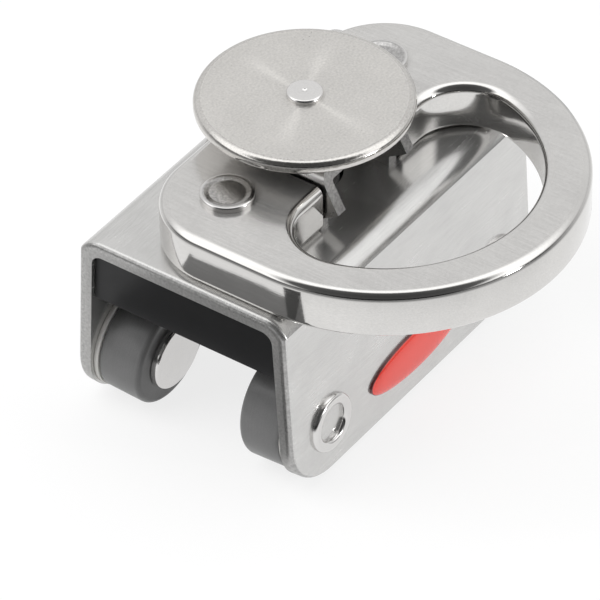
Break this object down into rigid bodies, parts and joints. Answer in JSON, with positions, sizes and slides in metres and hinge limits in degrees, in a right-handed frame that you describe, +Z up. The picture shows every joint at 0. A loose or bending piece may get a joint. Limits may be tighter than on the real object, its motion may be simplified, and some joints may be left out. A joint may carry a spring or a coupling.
{
  "type": "track car with eye and plunger",
  "caption": "Folded steel car that rolls along a T-section track, with a thick flat eye on its roof and a sprung plunger that drops into the track's holes.",
  "frame": {"origin": "on the plunger's axis, level with the running face that slides on the track's top", "axes": "+X along the track, -Y towards the eye, +Z up from the track"},
  "size_m": [0.0672, 0.0698, 0.0513],
  "materials": {
    "folded_steel": "satin",
    "plate_steel": "satin top, polished edges",
    "bracket_steel": "satin",
    "rivet_steel": "bright",
    "pin_steel": "bright turned",
    "disc_steel": "satin turned",
    "clip_steel": "satin",
    "collar_steel": "satin",
    "spring_steel": "bright",
    "block_acetal": "satin",
    "roller_acetal": "satin",
    "washer_plastic": "satin",
    "badge_resin": "gloss dome"
  },
  "bodies": {
    "chassis": {"channel_body": "folded_steel", "ring_plate": "plate_steel", "ring_rivet_front": "rivet_steel", "ring_rivet_rear": "rivet_steel", "plunger_bracket": "bracket_steel", "slide_block": "block_acetal", "plunger_spring": "spring_steel", "badge": "badge_resin", "axle_rivet_front_near": "rivet_steel", "axle_rivet_front_far": "rivet_steel", "axle_rivet_rear_near": "rivet_steel", "axle_rivet_rear_far": "rivet_steel", "thrust_washer_front_near": "washer_plastic", "thrust_washer_front_far": "washer_plastic", "thrust_washer_rear_near": "washer_plastic", "thrust_washer_rear_far": "washer_plastic"},
    "collar": {"spring_collar": "collar_steel"},
    "plunger": {"plunger_pin": "pin_steel", "collar_clip": "clip_steel", "knob_disc": "disc_steel"},
    "roller_front_near": {"roller_front_near": "roller_acetal"},
    "roller_front_far": {"roller_front_far": "roller_acetal"},
    "roller_rear_near": {"roller_rear_near": "roller_acetal"},
    "roller_rear_far": {"roller_rear_far": "roller_acetal"}
  },
  "joints": [
    {"name": "plunger_lift", "type": "slide", "parent": "chassis", "child": "collar", "axis": [0, 0, 1], "range_m": [0, 0.0067], "stiffness_N_per_m": 1500, "springref_m": -0.006, "deforming": ["plunger_spring"]},
    {"name": "knob_spin", "type": "hinge", "parent": "collar", "child": "plunger", "pos_m": [0, 0, 0.0022], "axis": [0, 0, 1], "continuous": true},
    {"name": "roller_front_near_spin", "type": "hinge", "parent": "chassis", "child": "roller_front_near", "pos_m": [-0.0235, -0.021, -0.0127], "axis": [0, -0.9985, 0.0541], "continuous": true},
    {"name": "roller_front_far_spin", "type": "hinge", "parent": "chassis", "child": "roller_front_far", "pos_m": [-0.0235, 0.021, -0.0127], "axis": [0, 0.9985, 0.0541], "continuous": true},
    {"name": "roller_rear_near_spin", "type": "hinge", "parent": "chassis", "child": "roller_rear_near", "pos_m": [0.0235, -0.021, -0.0127], "axis": [0, -0.9985, 0.0541], "continuous": true},
    {"name": "roller_rear_far_spin", "type": "hinge", "parent": "chassis", "child": "roller_rear_far", "pos_m": [0.0235, 0.021, -0.0127], "axis": [0, 0.9985, 0.0541], "continuous": true}
  ]
}
